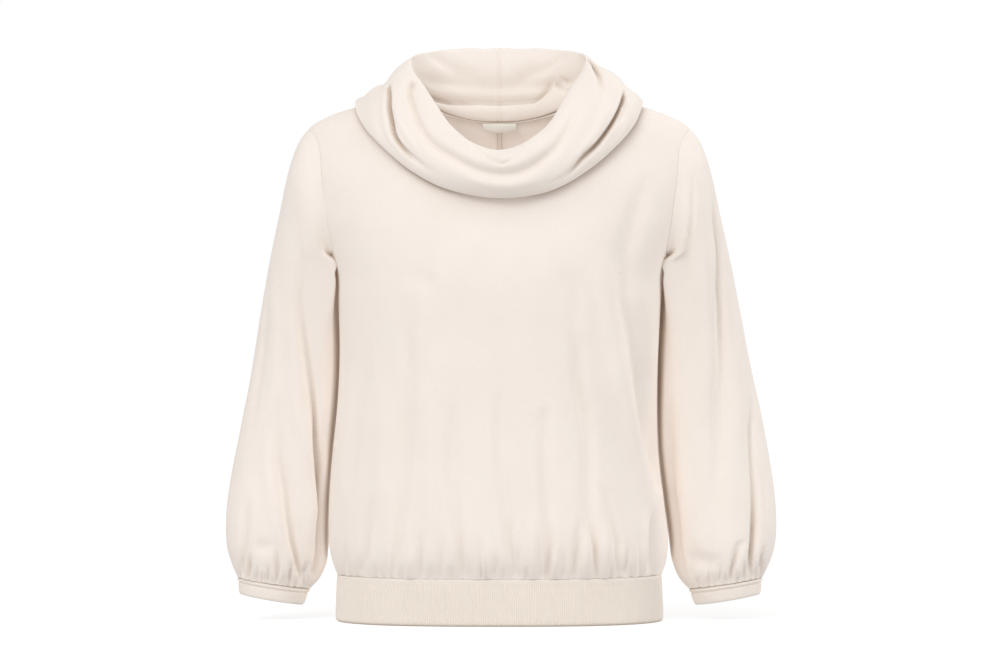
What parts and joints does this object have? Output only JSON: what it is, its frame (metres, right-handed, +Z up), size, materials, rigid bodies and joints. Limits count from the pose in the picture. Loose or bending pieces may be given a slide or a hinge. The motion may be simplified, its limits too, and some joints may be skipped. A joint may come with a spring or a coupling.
{
  "type": "sweater",
  "caption": "Knitted pullover with a big rolled cowl collar, three-quarter balloon sleeves gathered into cuffs and a body gathered into a ribbed hem, filled out as worn.",
  "frame": {"origin": "middle of the neck opening, level with the tops of the shoulder seams, where the wearer's shoulders hold it", "axes": "+Z up, the front faces -Y, the wearer's left is +X"},
  "size_m": [0.5968, 0.2333, 0.6231],
  "materials": {
    "knit": "fine cream jersey knit, matt",
    "cuff": "fine cream knit band, matt",
    "rib": "fine 1x1 rib knit, cream, matt",
    "label": "pale woven tape, slight sheen"
  },
  "bodies": {
    "root": {"front": "knit", "back_left": "knit", "back_right": "knit", "sleeve_left": "knit", "sleeve_right": "knit", "cuff_left": "cuff", "cuff_right": "cuff", "hem_rib_front": "rib", "hem_rib_back": "rib", "collar": "knit", "label": "label"}
  },
  "joints": []
}
